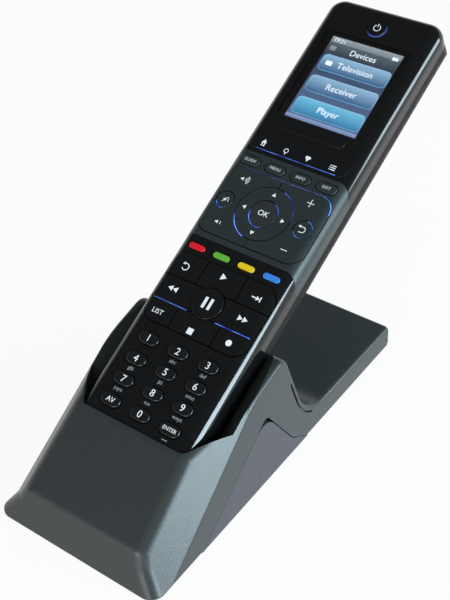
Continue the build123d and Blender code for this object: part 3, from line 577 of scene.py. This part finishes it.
blue_bright = blue_light("blue_bright", 3.6)
blue_soft = blue_light("blue_soft", 1.7)


def light_arc(name, u, v, radius, start, end, stuff):
    """A round light guide bent along part of a ring."""
    shape = bmesh.new()
    first = math.radians(start)
    made = bmesh.ops.create_circle(shape, cap_ends=True, segments=6, radius=line_r)
    stand = Matrix.Translation((u + radius * math.cos(first), v + radius * math.sin(first), line_depth))
    stand = stand @ Matrix.Rotation(first, 4, "Z") @ Matrix.Rotation(math.pi / 2, 4, "X")
    bmesh.ops.transform(shape, verts=made["verts"], matrix=stand)
    bmesh.ops.spin(shape, geom=list(shape.verts) + list(shape.edges) + list(shape.faces), cent=(u, v, 0),
                   axis=(0, 0, 1), angle=math.radians(end - start), steps=(end - start) // line_step)
    bmesh.ops.transform(shape, verts=shape.verts, matrix=seat)
    add_piece(shape, name, "remote", stuff, smooth=True)


def light_line(name, u0, u1, v, stuff, depth=line_depth):
    """A straight light guide along the face's width."""
    shape = bmesh.new()
    made = bmesh.ops.create_cone(shape, cap_ends=True, segments=6, radius1=line_r, radius2=line_r,
                                 depth=u1 - u0)
    ends = [e for e in shape.edges if e.calc_length() < 3 * line_r]
    bmesh.ops.bevel(shape, geom=ends, offset=line_r * 0.3, segments=1, profile=0.5, affect="EDGES",
                    material=-1)
    stand = Matrix.Translation(((u0 + u1) / 2, v, depth)) @ Matrix.Rotation(math.pi / 2, 4, "Y")
    bmesh.ops.transform(shape, verts=shape.verts, matrix=seat @ stand)
    add_piece(shape, name, "remote", stuff, smooth=True)


ring_r, ok_r, side_key_r, side_key_u, split_gap = 12.39, 6.13, 3.8, 19.15, 0.45
nav_high_v, nav_half_w, nav_corner_r, key_gap = 128.3, 25.6, 6.5, 0.4
strip_foot_v, strip_foot_n = 138.9, 0.02
strip_left_u, strip_right_u = -20, 19
deck_split_v, deck_middle_u, deck_end_u = 61.5, 7.1, 24
power_r = 4.1
half_split, half_gap = split_gap / 2, key_gap / 2
nav_line_v, nav_end_u = nav_high_v + half_gap, nav_half_w - nav_corner_r
light_arc("ring_light_upper", 0, ring_v, ring_r + half_split, 5, 75, blue_soft)
light_arc("ring_light_lower", 0, ring_v, ring_r + half_split, 185, 255, blue_bright)
light_arc("ok_light_upper", 0, ring_v, ok_r + half_split, -20, 70, blue_soft)
light_arc("ok_light_lower", 0, ring_v, ok_r + half_split, 180, 290, blue_bright)
light_arc("mute_light", -side_key_u, ring_v, side_key_r + half_split, 200, 330, blue_bright)
light_arc("return_light", side_key_u, ring_v, side_key_r + half_split, -150, 90, blue_soft)
light_line("nav_light_left", -nav_end_u, 0, nav_line_v, blue_soft)
light_line("nav_light_right", 0, nav_end_u, nav_line_v, blue_bright)
light_arc("nav_corner_light", nav_end_u, nav_high_v - nav_corner_r, nav_corner_r + half_gap, -5, 88,
          blue_bright)
light_arc("power_light", 0, power_v, power_r + half_gap, 215, 395, blue_soft)
light_line("strip_light", strip_left_u, strip_right_u, strip_foot_v, blue_soft, strip_foot_n)
light_line("deck_light_left", -deck_end_u, -deck_middle_u, deck_split_v, blue_soft)
light_line("deck_light_right", deck_middle_u, deck_end_u, deck_split_v, blue_bright)

# The floor is plain and pale, and the light is soft: a bluish lamp from the right, a small one for the
# front corner, a wide one from the front, and a surround that is pale near the floor and dark above.


def background_rays(tree, link):
    """1 for rays from the camera, a gloss or a clear piece, which show the plain background."""
    path, seen, seen_too = (tree.new(kind) for kind in (
        "ShaderNodeLightPath", "ShaderNodeMath", "ShaderNodeMath"))
    seen.operation = seen_too.operation = "MAXIMUM"
    link(path.outputs["Is Camera Ray"], seen.inputs[0])
    link(path.outputs["Is Glossy Ray"], seen.inputs[1])
    link(seen.outputs[0], seen_too.inputs[0])
    link(path.outputs["Is Transmission Ray"], seen_too.inputs[1])
    return seen_too.outputs[0]


floor = bmesh.new()
bmesh.ops.create_grid(floor, x_segments=8, y_segments=8, size=3.0)
floor_mesh = bpy.data.meshes.new("floor")
floor.to_mesh(floor_mesh)
floor.free()
floor_object = bpy.data.objects.new("floor", floor_mesh)
bpy.context.scene.collection.objects.link(floor_object)
floor_stuff, tree, link, paper = new_finish("floor_paper")
paper.inputs["Base Color"].default_value = (0.86, 0.86, 0.86, 1)
paper.inputs["Roughness"].default_value = 0.9
paper.inputs["Specular IOR Level"].default_value = 0.1
glow = tree.new("ShaderNodeEmission")
glow.inputs["Color"].default_value = (1, 1, 1, 1)
glow.inputs["Strength"].default_value = 1.0
mixed, share = tree.new("ShaderNodeMixShader"), tree.new("ShaderNodeMath")
share.operation = "MULTIPLY"
share.inputs[1].default_value = 0.92
link(background_rays(tree, link), share.inputs[0])
link(share.outputs[0], mixed.inputs["Fac"])
link(paper.outputs[0], mixed.inputs[1])
link(glow.outputs[0], mixed.inputs[2])
link(mixed.outputs[0], tree["Material Output"].inputs["Surface"])
floor_mesh.materials.append(floor_stuff)

world = bpy.data.worlds.new("surround")
bpy.context.scene.world = world
world.use_nodes = True
tree, link = world.node_tree.nodes, world.node_tree.links.new
plain = tree["Background"]
plain.inputs["Color"].default_value = (1, 1, 1, 1)
place, split, fall_off, level = (tree.new(kind) for kind in (
    "ShaderNodeTexCoord", "ShaderNodeSeparateXYZ", "ShaderNodeMapRange", "ShaderNodeMix"))
link(place.outputs["Generated"], split.inputs[0])
link(split.outputs["Z"], fall_off.inputs["Value"])
fall_off.inputs["From Min"].default_value = 0.12
fall_off.inputs["From Max"].default_value = 0.5
fall_off.inputs["To Min"].default_value = 1.0
fall_off.inputs["To Max"].default_value = 0.1
link(background_rays(tree, link), level.inputs["Factor"])
level.inputs["A"].default_value = 0.36
link(fall_off.outputs["Result"], level.inputs["B"])
link(level.outputs["Result"], plain.inputs["Strength"])


def lamp(name, place, aim, wide, tall, watts, colour=(1, 1, 1)):
    """A soft rectangular lamp aimed at a point."""
    data = bpy.data.lights.new(name, "AREA")
    data.shape = "RECTANGLE"
    data.size = wide
    data.size_y = tall
    data.energy = watts
    data.color = colour
    holder = bpy.data.objects.new(name, data)
    holder.location = place
    holder.rotation_euler = (Vector(aim) - Vector(place)).to_track_quat("-Z", "Y").to_euler()
    bpy.context.scene.collection.objects.link(holder)


cool_light = (0.72, 0.91, 1.0)
lamp("right_lamp", (1.0, -0.08, 0.36), (0.0, -0.04, 0.05), 0.4, 0.56, 13.0, cool_light)
lamp("corner_lamp", (0.88, 0.52, 0.34), (0.0, -0.1, 0.02), 0.36, 0.36, 5.0, cool_light)
lamp("front_lamp", (0.0, -1.25, 0.55), (0.0, 0.0, 0.06), 0.8, 0.4, 6.0)

# The camera, as the photograph was taken: from the front right and well above, turned a little. Its place
# was fitted with the foot of the remote's face at the given height and depth, and follows that foot.
turn, rise, lean = math.radians(37.99), math.radians(40.41), math.radians(-3.13)
fitted_foot_y, fitted_foot_z = 0.0328, 0.03103
fitted_x, fitted_y, fitted_z = 0.2268, -0.1863, 0.3694
stand = Vector((fitted_x, fitted_y + face_foot.y - fitted_foot_y, fitted_z + face_foot.z - fitted_foot_z))
back = Vector((math.sin(turn) * math.cos(rise), -math.cos(turn) * math.cos(rise), math.sin(rise)))
level_right = Vector((math.cos(turn), math.sin(turn), 0))
level_up = back.cross(level_right)
right = level_right * math.cos(lean) + level_up * math.sin(lean)
up = level_up * math.cos(lean) - level_right * math.sin(lean)
camera_data = bpy.data.cameras.new("camera")
camera_data.sensor_width = 36.0
focal_px, photo_h_px = 1183.47, 600
camera_data.lens = focal_px / photo_h_px * camera_data.sensor_width
camera = bpy.data.objects.new("camera", camera_data)
camera.matrix_world = Matrix((
    (right.x, up.x, back.x, stand.x),
    (right.y, up.y, back.y, stand.y),
    (right.z, up.z, back.z, stand.z),
    (0.0, 0.0, 0.0, 1.0),
))
bpy.context.scene.collection.objects.link(camera)
bpy.context.scene.camera = camera
bpy.context.scene.view_settings.view_transform = "Standard"
